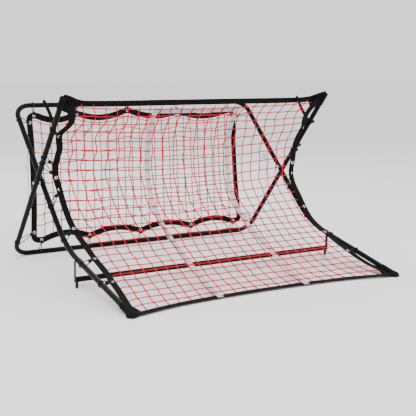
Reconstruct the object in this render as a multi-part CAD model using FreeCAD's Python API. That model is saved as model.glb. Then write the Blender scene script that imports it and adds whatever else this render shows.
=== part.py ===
import FreeCAD, Part
import math
import os

# Pitch back rebounder: two hinged steel tube frames, a front net and a rear net.
# Millimetres. X runs across the rebounder, -Y is the front, +Z is up, the ground is Z = 0.

V = FreeCAD.Vector

# ---- driving dimensions ----
BASE_WIDTH = 1830.0          # between the centre lines of the two base legs
TUBE_R = 15.9                # 31.8 mm tube
FRAME_GAP = 5.2              # between a base leg and the swing leg beside it
FRAME_STEP = 2 * TUBE_R + FRAME_GAP      # between the centre lines of those two legs
TUBE_WALL = 1.5
CORNER_R = 100.0             # centre line radius of the four corner bends
BASE_LEG_LENGTH = 1355.0     # from the ground bar to the free end
BASE_LEG_SLOPE = 50.0        # degrees from the ground
PIVOT_UP_LEG = 677.0         # from the ground bar to the pivot
TOP_LEG_SLOPE = 43.4         # degrees from the ground
TOP_BAR_REACH = 637.0        # from the pivot to the top bar
BEND_REACH = 489.0           # from the pivot to the corner of the toe bend
BEND_R = 600.0               # centre line radius of the toe bend
TOE_LENGTH = 826.0           # from the corner of the toe bend to the toe end
BASE_BAR_Y = 777.3           # ground bar's centre line, with the origin under the middle

# ---- joints in the tubes ----
BASE_JOINT = 315.0           # seam of the base leg, from the ground bar
TOP_JOINT = 330.0            # upper seam of the swing leg, from the pivot
SPIGOT_LENGTH = 60.0
SPIGOT_TO_BEND = 4.0         # straight tube left between the lower spigot and the toe bend
SPIGOT_GAP = 0.3             # between a spigot and the tube around it
SPIGOT_WALL = 1.5
SHOULDER_LENGTH = 4.0
BUTTON_R = 4.0
BUTTON_GAP = 0.25
BUTTON_STAND = 3.6           # how far a button stands out of the tube
BUTTON_DOME = 1.25           # radius of its rounded end, over its own radius
BUTTON_BACK = 30.0           # from the seam to the button
FLANGE_R = 5.4
FLANGE_T = 1.2
SPRING_T = 0.8
SPRING_W = 7.0
SPRING_REACH = 26.0
SPRING_BEND = 20.8           # where an arm begins to turn into the other
SPRING_TURN = 4.0            # half the height of that turn
SPRING_TAIL = 8.0            # past the button

# ---- pivot ----
PIVOT_BOLT_R = 5.0
PIVOT_RUN = 0.08             # radial running clearance of the pivot bolt in its bush
BUSH_WALL = 1.6
SPACER_R = 14.0
SPACER_RUN = 0.3
HEAD_R = 8.5
HEAD_T = 6.0
NUT_T = 8.0
WASHER_T = 1.6
BOLT_TAIL = 12.0
HEAD_GAP = 0.2               # under the head of a stand bolt or brace rivet

# ---- support stand under the toe tubes ----
STAND_ALONG_TOE = 170.0      # from the corner of the toe bend to the stand's bolts
STAND_BAR_Z = 51.0
STAND_FOOT_Z = 3.0
STAND_PLATE_T = 2.2
STAND_PLATE_W = 25.0
STAND_PLATE_RUN = 0.6        # between a plate and the toe tube
STAND_BOLT_R = 4.0
STAND_HEX_R = 7.0
STAND_HEAD_T = 4.0
STAND_TAIL = 4.0
STAND_FOOT_R = 9.0

# ---- braces between the frames ----
BRACE_ALONG_LEG = 255.0      # from the pivot to the brace's top, along the swing leg
BRACE_R = 2.2
BRACE_EYE_R = 8.0            # from an eye's centre to the end of the rod
BRACE_EYE_RIM = 2.0          # how far the eye reaches over the rod's end
BRACE_EYE_T = 2.6
BRACE_EYE_GAP = 0.5          # between an eye and the swing leg
BRACE_PIN_R = 3.0
BRACE_PIN_RUN = 0.06
BRACE_HEAD_R = 5.5
BRACE_HEAD_T = 1.2
BRACE_END_GAP = 0.6
BRACE_SET = 4.0              # how far a rivet or stud reaches into its tube
STUD_HEAD_T = 1.0
TAG_W = 46.0
TAG_H = 50.0
TAG_T = 0.8
TAG_SKIN = 0.15
TAG_DROP = 95.0              # from the brace's top to the tag's upper edge

# ---- nets ----
BAND_W = 35.0
BAND_T = 3.0
NET_T = 2.0
NET_INSET = 115.0            # from a base leg's centre line to the inner edge of a side band
SIDE_CURVE = ((0.014, 0.055), (0.066, 0.211), (0.144, 0.348), (0.188, 0.382), (0.237, 0.408),
              (0.33, 0.412), (0.447, 0.390), (0.644, 0.286), (0.80, 0.175), (0.965, 0.045))
MIDDLE_CURVE = ((0.014, 0.065), (0.065, 0.200), (0.130, 0.272), (0.175, 0.305), (0.235, 0.342),
                (0.31, 0.362), (0.418, 0.358), (0.604, 0.287), (0.775, 0.197), (0.955, 0.070))
GROMMET_STEPS = (1, 2, 3, 4, 6, 7, 8)      # rows of SIDE_CURVE that carry a grommet
BASE_GROMMETS = 3                          # the first three are tied to the base leg
MIDDLE_GROMMETS = 2                        # the next two to the swing leg above its bend
WRAP_SHIFT = (37.0, 9.0, 15.0, 33.0, 26.0, -13.0, 1.0)
GROMMET_R = 9.0
GROMMET_HOLE_R = 5.0
GROMMET_T = 4.0
GROMMET_FIT = 0.2            # between a grommet and the band around it
CORD_R = 2.5
BALL_R = 10.5
SOFT_GAP = 0.4
POCKET_WALL = 1.6
POCKET_LENGTH = 75.0
PLUG_FLANGE = 3.0
PLUG_STEM = 22.0
POCKET_FIT = 0.1
TARGET_X = 290.0
TARGET_LIFT = 3.0
TARGET_T = 1.5
TOP_BAND_AT = (0.004, 0.035)         # along the line from leg end to toe, and off it
BOTTOM_BAND_AT = (0.985, 0.018)
BOTTOM_BAND_RISE = 4.0               # its lower edge above the ground
REAR_INSET = 145.0           # from a base leg's centre line to the rear net's edge
REAR_TOP_DROP = 88.0
REAR_BOTTOM_RISE = 85.0
REAR_BORDER = 25.0
REAR_FIT = 0.2               # between the rear net and its border
REAR_TOP_TIES = (-0.968, -0.597, -0.117, 0.390, 0.942)       # shares of half the rear net's width
REAR_BOTTOM_TIES = (-0.955, -0.513, -0.013, 0.513, 0.968)
REAR_CORD_STAND = 2.5        # between a rear cord and its grommet's face
BALL_FROM_BAND = 14.0        # from a bungee's start to its ball, along the cord
NET_RISE = 6.0               # least height of the front net's middle above the ground

# ---- storage straps ----
STRAP_BELOW_END = 239.0      # from the free end of the base leg
STRAP_W = 20.0
STRAP_T = 2.0
STRAP_TAIL = 205.0
STRAP_SLOPE = 48.0
STRAP_TAIL_IN = 10.0         # tail's middle, in from the base leg's centre line

# ---- worked-out places ----


def side_dir(degrees):
    """Unit vector in the YZ plane, turned up from +Y."""
    turn = math.radians(degrees)
    return V(0, math.cos(turn), math.sin(turn))


BASE_X = BASE_WIDTH / 2
SWING_X = BASE_X - FRAME_STEP
NET_HALF = BASE_X - NET_INSET
REAR_HALF = BASE_X - REAR_INSET
UP_LEG = side_dir(180 - BASE_LEG_SLOPE)
TOP_DIR = side_dir(TOP_LEG_SLOPE)
BASE_BAR = V(0, BASE_BAR_Y, TUBE_R)
PIVOT = BASE_BAR + UP_LEG * PIVOT_UP_LEG
BASE_END = BASE_BAR + UP_LEG * BASE_LEG_LENGTH
TOP_BAR = PIVOT + TOP_DIR * TOP_BAR_REACH
BEND = PIVOT - TOP_DIR * BEND_REACH


def toe_slope():
    """Slope at which the toe pocket's lowest edge touches the ground."""
    nose = PLUG_FLANGE + POCKET_FIT + POCKET_WALL
    slope = 0.0
    for _ in range(20):
        rest = (TUBE_R + POCKET_WALL) * math.cos(slope) + nose * math.sin(slope)
        slope = math.asin((BEND.z - rest) / TOE_LENGTH)
    return math.degrees(slope)


TOE_SLOPE = toe_slope()
TOE_DIR = side_dir(180 + TOE_SLOPE)
TOE_END = BEND + TOE_DIR * TOE_LENGTH
BEND_TURN = math.radians(TOP_LEG_SLOPE - TOE_SLOPE)
BEND_TANGENT = BEND_R * math.tan(BEND_TURN / 2)
LOW_JOINT = BEND_REACH - BEND_TANGENT - SPIGOT_TO_BEND - SPIGOT_LENGTH
STAND_BOLT = BEND + TOE_DIR * STAND_ALONG_TOE
SPIGOT_R = TUBE_R - TUBE_WALL - SPIGOT_GAP
SPIGOT_IN = SPIGOT_R - SPIGOT_WALL
CHORD = TOE_END - BASE_END
CHORD_DIR = V(CHORD).normalize()
SAG_DIR = V(0, -CHORD_DIR.z, CHORD_DIR.y)
GAP_IN = SWING_X + TUBE_R    # outer face of a swing leg
GAP_OUT = BASE_X - TUBE_R    # inner face of a base leg


def across(point, x):
    """The same place in the side plane at X = x."""
    return V(x, point.y, point.z)


# ---- shape helpers ----


def cyl(start, axis, radius, length):
    return Part.makeCylinder(radius, length, start, axis)


def between(start, end, radius):
    span = end - start
    return cyl(start, span, radius, span.Length)


def ring(start, axis, outer, inner, length):
    return cyl(start, axis, outer, length).cut(cyl(start, axis, inner, length))


def path_wire(points, radii):
    """Straight runs through the points, each corner rounded to its radius."""
    edges = []
    last = points[0]
    for before, corner, after, radius in zip(points, points[1:], points[2:], radii):
        into = (corner - before).normalize()
        out = (after - corner).normalize()
        turn = into.getAngle(out)
        reach = radius * math.tan(turn / 2)
        start = corner - into * reach
        end = corner + out * reach
        middle = (out - into).normalize()
        top = corner + middle * (radius / math.cos(turn / 2) - radius)
        edges.append(Part.LineSegment(last, start).toShape())
        edges.append(Part.Arc(start, top, end).toShape())
        last = end
    edges.append(Part.LineSegment(last, points[-1]).toShape())
    return Part.Wire(edges)


def pipe(points, radii, radius):
    if not radii:
        return between(points[0], points[-1], radius)
    axis = points[1] - points[0]
    profile = Part.Wire(Part.makeCircle(radius, points[0], axis))
    return path_wire(points, radii).makePipeShell([profile], True, True)


def tube(points, radii=()):
    return pipe(points, radii, TUBE_R).cut(pipe(points, radii, TUBE_R - TUBE_WALL))


def spigot(seam, axis):
    """Swaged end that reaches SPIGOT_LENGTH past the seam into the next tube."""
    inner = cyl(seam - axis * SHOULDER_LENGTH, axis, SPIGOT_IN, SPIGOT_LENGTH + SHOULDER_LENGTH)
    shoulder = cyl(seam - axis * SHOULDER_LENGTH, axis, TUBE_R - TUBE_WALL / 2, SHOULDER_LENGTH)
    body = cyl(seam - axis * SHOULDER_LENGTH, axis, SPIGOT_R, SPIGOT_LENGTH + SHOULDER_LENGTH)
    return shoulder.fuse(body).cut(inner)


def prism(outline, origin, along, up, width):
    """Flat outline of (a, b) pairs laid on two directions and given a width square to both."""
    corners = [origin + along * a + up * b for a, b in outline]
    side = along.cross(up).normalize()
    face = Part.Face(Part.makePolygon(corners + corners[:1]))
    solid = face.extrude(side * width)
    solid.translate(side * (-width / 2))
    return solid


def ribbon_outline(points, thickness):
    """Outline of a strip that follows a line of (a, b) points."""
    left = []
    right = []
    last = len(points) - 1
    for i, (a, b) in enumerate(points):
        before = points[max(i - 1, 0)]
        after = points[min(i + 1, last)]
        run = math.hypot(after[0] - before[0], after[1] - before[1])
        na = -(after[1] - before[1]) / run * thickness / 2
        nb = (after[0] - before[0]) / run * thickness / 2
        left.append((a + na, b + nb))
        right.append((a - na, b - nb))
    return left + right[::-1]


def both_sides(shape):
    """The shape and its mirror image across the middle, as separate solids."""
    return Part.Compound([shape, shape.mirror(V(0, 0, 0), V(1, 0, 0))])


def left_of(shape):
    return shape.mirror(V(0, 0, 0), V(1, 0, 0))


def group(shapes):
    solids = []
    for shape in shapes:
        solids.extend(shape.Solids)
    return Part.Compound(solids)


def save(shape, name):
    shape.exportStep("parts/" + name + ".step")
    print(name, len(shape.Solids), shape.isValid(), round(shape.Volume / 1000, 2))


def save_pair(shape, name):
    save(shape, name + "_right")
    save(left_of(shape), name + "_left")


# ---- snap buttons ----


def button_place(seam, back, out):
    """Centre of the button on the tube's axis, and the way it points."""
    return seam + back * BUTTON_BACK, out


def button_hole(seam, back, out):
    start, way = button_place(seam, back, out)
    return cyl(start, way, BUTTON_R + BUTTON_GAP, 2 * TUBE_R)


def flange_top():
    return math.sqrt(SPIGOT_IN ** 2 - FLANGE_R ** 2) - BUTTON_GAP


def button(seam, back, out):
    start, way = button_place(seam, back, out)
    top = TUBE_R + BUTTON_STAND
    low = flange_top() - FLANGE_T
    stem = cyl(start + way * low, way, BUTTON_R, top - BUTTON_R / 2 - low)
    dome = Part.makeSphere(BUTTON_R * BUTTON_DOME, start + way * (top - BUTTON_R * BUTTON_DOME))
    dome = dome.common(cyl(start + way * (low + FLANGE_T), way, BUTTON_R, 2 * TUBE_R))
    flange = cyl(start + way * low, way, FLANGE_R, FLANGE_T)
    return stem.fuse(dome).fuse(flange).removeSplitter()


def button_spring(seam, back, out):
    """Bent leaf: one arm under the button, the other along the far wall of the spigot."""
    start, way = button_place(seam, back, out)
    high = flange_top() - FLANGE_T - SPRING_T / 2
    low = -math.sqrt(SPIGOT_IN ** 2 - (SPRING_W / 2) ** 2) + SPRING_T / 2 + BUTTON_GAP
    middle = (high + low) / 2
    line = ((SPRING_TAIL, high), (0.0, high), (-SPRING_BEND, middle + SPRING_TURN), (-SPRING_REACH, middle),
            (-SPRING_BEND, middle - SPRING_TURN), (0.0, low), (SPRING_TAIL, low))
    return prism(ribbon_outline(line, SPRING_T), start, back, way, SPRING_W)


OUT = V(1, 0, 0)
IN = V(-1, 0, 0)
BASE_SEAM = across(BASE_BAR + UP_LEG * BASE_JOINT, BASE_X)
TOP_SEAM = across(PIVOT + TOP_DIR * TOP_JOINT, SWING_X)
LOW_SEAM = across(PIVOT - TOP_DIR * LOW_JOINT, SWING_X)
# seam, direction from the seam to the button, direction the button points
BUTTONS = {
    "base": (BASE_SEAM, -UP_LEG, OUT),
    "top": (TOP_SEAM, TOP_DIR, IN),
    "toe": (LOW_SEAM, -TOP_DIR, IN),
}


def make_buttons():
    for place, (seam, back, out) in BUTTONS.items():
        save_pair(button(seam, back, out), place + "_snap_button")
        save_pair(button_spring(seam, back, out), place + "_snap_spring")


# ---- tubes ----


def pivot_hole(radius):
    return cyl(across(PIVOT, SWING_X - 2 * TUBE_R), OUT, radius, 2 * FRAME_STEP + 4 * TUBE_R)


def brace_hole(point):
    return cyl(across(point, SWING_X), OUT, BRACE_PIN_R, FRAME_STEP)


def brace_top():
    return PIVOT + TOP_DIR * BRACE_ALONG_LEG


def brace_foot():
    """Where the hanging brace meets the base leg's centre line, straight below its top."""
    top = brace_top()
    along = (BASE_BAR.y - top.y) / -UP_LEG.y
    return BASE_BAR + UP_LEG * along


def base_corner():
    points = (BASE_BAR, across(BASE_BAR, BASE_X), BASE_SEAM)
    body = tube(points, (CORNER_R,))
    return body.cut(button_hole(*BUTTONS["base"]))


def base_leg():
    body = tube((BASE_SEAM, across(BASE_END, BASE_X)))
    body = body.fuse(spigot(BASE_SEAM, -UP_LEG))
    body = body.cut(button_hole(*BUTTONS["base"]))
    body = body.cut(pivot_hole(PIVOT_BOLT_R))
    return body.cut(brace_hole(brace_foot()))


def top_corner():
    points = (TOP_BAR, across(TOP_BAR, SWING_X), TOP_SEAM)
    body = tube(points, (CORNER_R,))
    return body.cut(button_hole(*BUTTONS["top"]))


def middle_leg():
    body = tube((TOP_SEAM, LOW_SEAM))
    body = body.fuse(spigot(TOP_SEAM, TOP_DIR)).fuse(spigot(LOW_SEAM, -TOP_DIR))
    body = body.cut(button_hole(*BUTTONS["top"])).cut(button_hole(*BUTTONS["toe"]))
    body = body.cut(pivot_hole(PIVOT_BOLT_R + BUSH_WALL))
    return body.cut(brace_hole(brace_top()))


def toe_tube():
    points = (LOW_SEAM, across(BEND, SWING_X), across(TOE_END, SWING_X))
    body = tube(points, (BEND_R,))
    body = body.cut(button_hole(*BUTTONS["toe"]))
    hole = cyl(across(STAND_BOLT, SWING_X - 2 * TUBE_R), OUT, STAND_BOLT_R, 4 * TUBE_R)
    return body.cut(hole)


def end_plug(end, axis):
    """Plastic plug: a stem inside the tube and a thin flange over its end."""
    stem = cyl(end - axis * PLUG_STEM, axis, TUBE_R - TUBE_WALL, PLUG_STEM)
    return stem.fuse(cyl(end, axis, TUBE_R, PLUG_FLANGE)).removeSplitter()


def make_tubes():
    right = base_corner()
    left = left_of(right)
    save(right.fuse(spigot(BASE_BAR, IN)), "base_corner_tube_right")
    save(left, "base_corner_tube_left")
    save_pair(base_leg(), "base_leg")
    top_right = top_corner()
    save(top_right.fuse(spigot(TOP_BAR, IN)), "top_corner_tube_right")
    save(left_of(top_right), "top_corner_tube_left")
    save_pair(middle_leg(), "middle_leg")
    save_pair(toe_tube(), "toe_tube")
    save(both_sides(end_plug(across(BASE_END, BASE_X), UP_LEG)), "base_end_plugs")
    save(both_sides(end_plug(across(TOE_END, SWING_X), TOE_DIR)), "toe_end_plugs")


# ---- pivot hardware ----


def hexagon(start, axis, radius, length):
    side = V(0, 0, 1)
    third = axis.cross(side)
    outline = []
    for i in range(6):
        turn = math.radians(60 * i)
        outline.append((radius * math.cos(turn), radius * math.sin(turn)))
    corners = [start + side * a + third * b for a, b in outline]
    face = Part.Face(Part.makePolygon(corners + corners[:1]))
    return face.extrude(axis * length)


def make_pivot():
    head_x = BASE_X + TUBE_R
    nut_x = SWING_X - TUBE_R - WASHER_T - SPACER_RUN
    tail_x = nut_x - NUT_T - BOLT_TAIL
    shank = between(across(PIVOT, tail_x), across(PIVOT, head_x), PIVOT_BOLT_R)
    head = hexagon(across(PIVOT, head_x), OUT, HEAD_R, HEAD_T)
    save(both_sides(head.fuse(shank)), "pivot_bolts")
    nut = hexagon(across(PIVOT, nut_x - NUT_T), OUT, HEAD_R, NUT_T)
    nut = nut.cut(cyl(across(PIVOT, tail_x), OUT, PIVOT_BOLT_R, FRAME_STEP * 2))
    save(both_sides(nut), "pivot_nuts")
    washer = ring(across(PIVOT, nut_x), OUT, SPACER_R, PIVOT_BOLT_R, WASHER_T)
    spacer_in = GAP_IN + SPACER_RUN
    spacer = ring(across(PIVOT, spacer_in), OUT, SPACER_R, PIVOT_BOLT_R, GAP_OUT - spacer_in)
    save(group([both_sides(washer), both_sides(spacer)]), "pivot_washers")
    bush_r = PIVOT_BOLT_R + PIVOT_RUN
    bush = ring(across(PIVOT, SWING_X - TUBE_R), OUT, PIVOT_BOLT_R + BUSH_WALL, bush_r, 2 * TUBE_R)
    save(both_sides(bush), "pivot_bushes")


# ---- support stand ----


def make_stand():
    plate_x = GAP_IN + STAND_PLATE_RUN
    bar_y = STAND_BOLT.y
    low = STAND_BAR_Z - TUBE_R
    high = STAND_BOLT.z + STAND_PLATE_W / 2
    bar_start = V(-plate_x, bar_y, STAND_BAR_Z)
    bar = ring(bar_start, OUT, TUBE_R, TUBE_R - TUBE_WALL, 2 * plate_x)
    save(bar, "stand_bar")
    plate = Part.makeBox(STAND_PLATE_T, STAND_PLATE_W, high - STAND_PLATE_W / 2 - low,
                         V(plate_x, bar_y - STAND_PLATE_W / 2, low))
    plate = plate.fuse(cyl(across(STAND_BOLT, plate_x), OUT, STAND_PLATE_W / 2, STAND_PLATE_T))
    hole_r = STAND_BOLT_R + PIVOT_RUN
    plate = plate.cut(cyl(across(STAND_BOLT, plate_x), OUT, hole_r, STAND_PLATE_T))
    save_pair(plate.removeSplitter(), "stand_leg")
    foot_x = plate_x - STAND_FOOT_R
    foot = cyl(V(foot_x, bar_y, STAND_FOOT_Z), V(0, 0, 1), STAND_FOOT_R, STAND_BAR_Z - STAND_FOOT_Z)
    foot = foot.cut(cyl(bar_start, OUT, TUBE_R, 2 * plate_x))
    save(both_sides(foot), "stand_feet")
    head_x = plate_x + STAND_PLATE_T + HEAD_GAP
    tail_x = SWING_X - TUBE_R - NUT_T - STAND_TAIL
    bolt = between(across(STAND_BOLT, tail_x), across(STAND_BOLT, head_x), STAND_BOLT_R)
    bolt = bolt.fuse(hexagon(across(STAND_BOLT, head_x), OUT, STAND_HEX_R, STAND_HEAD_T))
    save(both_sides(bolt), "stand_bolts")
    nut = hexagon(across(STAND_BOLT, SWING_X - TUBE_R - NUT_T), OUT, STAND_HEX_R, NUT_T)
    nut = nut.cut(cyl(across(STAND_BOLT, tail_x), OUT, STAND_BOLT_R, 2 * FRAME_STEP))
    save(both_sides(nut), "stand_nuts")


# ---- braces ----


def make_braces():
    top = brace_top()
    foot = brace_foot()
    eye_x = GAP_IN + BRACE_EYE_GAP
    rod_x = (GAP_IN + GAP_OUT) / 2
    down = (foot - top).normalize()
    rod = between(across(top + down * BRACE_EYE_R, rod_x), across(foot - down * BRACE_EYE_R, rod_x),
                  BRACE_R)
    eyes = cyl(across(top, eye_x), OUT, BRACE_EYE_R + BRACE_EYE_RIM, BRACE_EYE_T)
    eyes = eyes.fuse(cyl(across(foot, eye_x), OUT, BRACE_EYE_R + BRACE_EYE_RIM, BRACE_EYE_T))
    rod = rod.fuse(eyes)
    for end in (top, foot):
        hole = cyl(across(end, eye_x), OUT, BRACE_PIN_R + BRACE_PIN_RUN, FRAME_STEP)
        rod = rod.cut(hole)
    save_pair(rod, "brace_rod")
    lower = across(top + down * (TAG_DROP + TAG_H), rod_x)
    tag = Part.makeBox(TAG_T, TAG_W, TAG_H, V(rod_x - TAG_T / 2, top.y, lower.z))
    sleeve = cyl(lower, V(0, 0, 1), BRACE_R + TAG_SKIN, TAG_H)
    tag = tag.fuse(sleeve).cut(cyl(lower, V(0, 0, 1), BRACE_R, TAG_H))
    save_pair(tag, "brace_tag")
    head_x = eye_x + BRACE_EYE_T + HEAD_GAP
    rivet = between(across(top, GAP_IN - BRACE_SET), across(top, head_x), BRACE_PIN_R)
    rivet = rivet.fuse(cyl(across(top, head_x), OUT, BRACE_HEAD_R, BRACE_HEAD_T))
    save(both_sides(rivet), "brace_rivets")
    stud_x = eye_x + BRACE_EYE_T + BRACE_END_GAP
    stud = cyl(across(foot, stud_x), OUT, BRACE_HEAD_R, STUD_HEAD_T)
    stud = stud.fuse(cyl(across(foot, stud_x), OUT, BRACE_PIN_R, GAP_OUT - stud_x + BRACE_SET))
    body = pipe((across(BASE_BAR, BASE_X), BASE_SEAM), (), TUBE_R)
    keep = stud.cut(body).fuse(stud.common(cyl(across(foot, stud_x), OUT, BRACE_PIN_R, FRAME_STEP)))
    save(both_sides(keep.removeSplitter()), "brace_studs")


# ---- front net ----


def net_place(t, b):
    """A place on the front net: t along the line from leg end to toe, b the sag off that line."""
    return BASE_END + CHORD_DIR * (t * CHORD.Length) + SAG_DIR * (b * CHORD.Length)


def sheet_solid(rows, thickness):
    """Closed solid over a grid of points, given its thickness along Y."""
    half = V(0, thickness / 2, 0)
    front = [[p - half for p in row] for row in rows]
    back = [[p + half for p in row] for row in rows]
    tall = len(rows) - 1
    wide = len(rows[0]) - 1
    faces = []

    def quad(a, b, c, d):
        faces.append(Part.Face(Part.makePolygon([a, b, c, a])))
        faces.append(Part.Face(Part.makePolygon([a, c, d, a])))

    for i in range(tall):
        for j in range(wide):
            quad(front[i][j], front[i][j + 1], front[i + 1][j + 1], front[i + 1][j])
            quad(back[i][j], back[i + 1][j], back[i + 1][j + 1], back[i][j + 1])
    for j in range(wide):
        quad(front[0][j], back[0][j], back[0][j + 1], front[0][j + 1])
        quad(front[tall][j], front[tall][j + 1], back[tall][j + 1], back[tall][j])
    for i in range(tall):
        quad(front[i][0], front[i + 1][0], back[i + 1][0], back[i][0])
        quad(front[i][wide], back[i][wide], back[i + 1][wide], front[i + 1][wide])
    solid = Part.Solid(Part.Shell(faces))
    if solid.Volume < 0:
        solid.reverse()
    return solid


def net_rows(columns, lift=0.0):
    """Rows of the front net's surface, the side curve blended into the middle curve."""
    rows = []
    for side, middle in zip(SIDE_CURVE, MIDDLE_CURVE):
        row = []
        for x in columns:
            bulge = 1 - (x / NET_HALF) ** 2
            t = side[0] + (middle[0] - side[0]) * bulge
            b = side[1] + (middle[1] - side[1]) * bulge
            point = net_place(t, b)
            row.append(V(x, point.y - lift, max(point.z, NET_RISE)))
        rows.append(row)
    return rows


def side_band():
    """One side band, a strip that follows the side curve."""
    rows = []
    for t, b in SIDE_CURVE:
        point = net_place(t, b)
        rows.append([across(point, NET_HALF + SOFT_GAP), across(point, NET_HALF + BAND_W)])
    return sheet_solid(rows, BAND_T)


def grommet_cut(place):
    """Hole through a band for a grommet, as deep as the band is wide."""
    way = V(0, 1, 0)
    return cyl(place - way * (BAND_W / 2), way, GROMMET_R + GROMMET_FIT, BAND_W)


def grommet_places():
    return [across(net_place(*SIDE_CURVE[i]), NET_HALF + BAND_W / 2) for i in GROMMET_STEPS]


def swing_line(along):
    """Place on the swing leg's centre line past the pivot, into the bend, and its way there."""
    way = -TOP_DIR
    straight = BEND_REACH - BEND_TANGENT
    if along <= straight:
        return PIVOT + way * along, way
    turn = (along - straight) / BEND_R
    inward = V(0, -TOP_DIR.z, TOP_DIR.y)
    reach = way * math.sin(turn) + inward * (1 - math.cos(turn))
    return PIVOT + way * straight + reach * BEND_R, way * math.cos(turn) + inward * math.sin(turn)


def wrap_place(index, grommet):
    """Where a bungee goes round its leg, and the leg's way: the grommet's foot, shifted."""
    if index < BASE_GROMMETS:
        along = (grommet - BASE_BAR).dot(UP_LEG) + WRAP_SHIFT[index]
        return across(BASE_BAR + UP_LEG * along, BASE_X), UP_LEG
    if index < BASE_GROMMETS + MIDDLE_GROMMETS:
        along = (PIVOT - grommet).dot(TOP_DIR) + WRAP_SHIFT[index]
        place, way = swing_line(along)
        return across(place, SWING_X), way
    along = (grommet - BEND).dot(TOE_DIR) + WRAP_SHIFT[index]
    return across(BEND + TOE_DIR * along, SWING_X), TOE_DIR


def tie(start, wrap, tube_way, face):
    """A bungee's cord from beside its band to the tube, and the ball lying on the cord."""
    span = wrap - start
    way = V(span).normalize()
    slant = way.cross(tube_way).Length
    end = start + way * (span.Length - (TUBE_R + CORD_R + SOFT_GAP) / slant)
    lift = (face - way * face.dot(way)).normalize() * (BALL_R + CORD_R + SOFT_GAP)
    along = min(BALL_FROM_BAND, (end - start).Length / 2)
    return between(start, end, CORD_R), Part.makeSphere(BALL_R, start + way * along + lift)


def pocket(end, axis, x):
    """Fabric cup over a tube's free end."""
    seat = end + axis * (PLUG_FLANGE + POCKET_FIT)
    start = across(seat - axis * POCKET_LENGTH, x)
    cup = cyl(start, axis, TUBE_R + POCKET_WALL, POCKET_LENGTH + POCKET_WALL)
    return cup.cut(cyl(start, axis, TUBE_R + POCKET_FIT, POCKET_LENGTH))


def cross_band(place, half):
    """Straight band across the net at a place of the side plane."""
    rise = V(0, 0, BAND_W / 2)
    rows = []
    for level in (rise, -rise):
        rows.append([across(place + level, -half), across(place + level, half)])
    return sheet_solid(rows, BAND_T)


def make_front_net():
    columns = [NET_HALF * i / 4 for i in range(-4, 5)]
    for x in (-TARGET_X, TARGET_X):
        columns += [x - BAND_W / 2, x + BAND_W / 2]
    columns.sort()
    save(sheet_solid(net_rows(columns), NET_T), "front_net")
    band = side_band()
    grommets = []
    upper_cords, upper_balls, lower_cords, lower_balls = [], [], [], []
    for index, place in enumerate(grommet_places()):
        start = place - V(0, GROMMET_T / 2, 0)
        way = V(0, 1, 0)
        band = band.cut(grommet_cut(place))
        grommets.append(ring(start, way, GROMMET_R, GROMMET_HOLE_R, GROMMET_T))
        wrap, tube_way = wrap_place(index, place)
        start = place + OUT * (BAND_W / 2 + CORD_R + SOFT_GAP)
        cord, ball = tie(start, wrap, tube_way, -SAG_DIR)
        if index < BASE_GROMMETS:
            upper_cords.append(cord)
            upper_balls.append(ball)
        else:
            lower_cords.append(cord)
            lower_balls.append(ball)
    save(both_sides(band), "front_side_bands")
    save(group([both_sides(g) for g in grommets]), "front_grommets")
    save(group([both_sides(c) for c in upper_cords]), "upper_bungee_cords")
    save(group([both_sides(b) for b in upper_balls]), "upper_bungee_balls")
    save(group([both_sides(c) for c in lower_cords]), "lower_bungee_cords")
    save(group([both_sides(b) for b in lower_balls]), "lower_bungee_balls")
    targets = []
    for x in (-TARGET_X, TARGET_X):
        columns = (x - BAND_W / 2, x + BAND_W / 2)
        targets.append(sheet_solid(net_rows(columns, NET_T + TARGET_LIFT), TARGET_T))
    save(group(targets), "front_target_bands")
    top_place = net_place(*TOP_BAND_AT)
    save(cross_band(top_place, NET_HALF + BAND_W), "front_top_band")
    bottom_place = net_place(*BOTTOM_BAND_AT)
    save(cross_band(V(0, bottom_place.y, BAND_W / 2 + BOTTOM_BAND_RISE), NET_HALF), "front_bottom_band")
    save(both_sides(pocket(BASE_END, UP_LEG, BASE_X)), "top_pockets")
    save(both_sides(pocket(TOE_END, TOE_DIR, SWING_X)), "toe_pockets")


# ---- rear net ----


def rear_place(x, z):
    """A place on the straight line between the top bar and the ground bar at height z."""
    share = (z - BASE_BAR.z) / (TOP_BAR.z - BASE_BAR.z)
    return V(x, BASE_BAR.y + (TOP_BAR.y - BASE_BAR.y) * share, z)


def rear_panel(half, low, high, thickness):
    rows = [[rear_place(-half, z), rear_place(half, z)] for z in (high, low)]
    return sheet_solid(rows, thickness)


def make_rear_net():
    low = BASE_BAR.z + REAR_BOTTOM_RISE
    high = TOP_BAR.z - REAR_TOP_DROP
    save(rear_panel(REAR_HALF, low, high, NET_T), "rear_net")
    border = rear_panel(REAR_HALF + REAR_BORDER, low - REAR_BORDER, high + REAR_BORDER, BAND_T)
    border = border.cut(rear_panel(REAR_HALF + REAR_FIT, low - REAR_FIT, high + REAR_FIT, 4 * BAND_T))
    grommets = []
    ties = {"upper": [], "lower": []}
    rows = (("upper", REAR_TOP_TIES, high + REAR_BORDER / 2, TOP_BAR),
            ("lower", REAR_BOTTOM_TIES, low - REAR_BORDER / 2, BASE_BAR))
    way = V(0, 1, 0)
    for row, places, z, bar in rows:
        for share in places:
            x = share * REAR_HALF
            place = rear_place(x, z)
            start = place - way * (GROMMET_T / 2)
            border = border.cut(grommet_cut(place))
            grommets.append(ring(start, way, GROMMET_R, GROMMET_HOLE_R, GROMMET_T))
            beside = place - way * (GROMMET_T / 2 + CORD_R + REAR_CORD_STAND)
            ties[row].append(tie(beside, across(bar, x), OUT, -way))
    save(border, "rear_border")
    save(group(grommets), "rear_grommets")
    for row, pairs in ties.items():
        save(group([cord for cord, ball in pairs]), "rear_" + row + "_cords")
        save(group([ball for cord, ball in pairs]), "rear_" + row + "_balls")


# ---- storage straps ----


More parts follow.
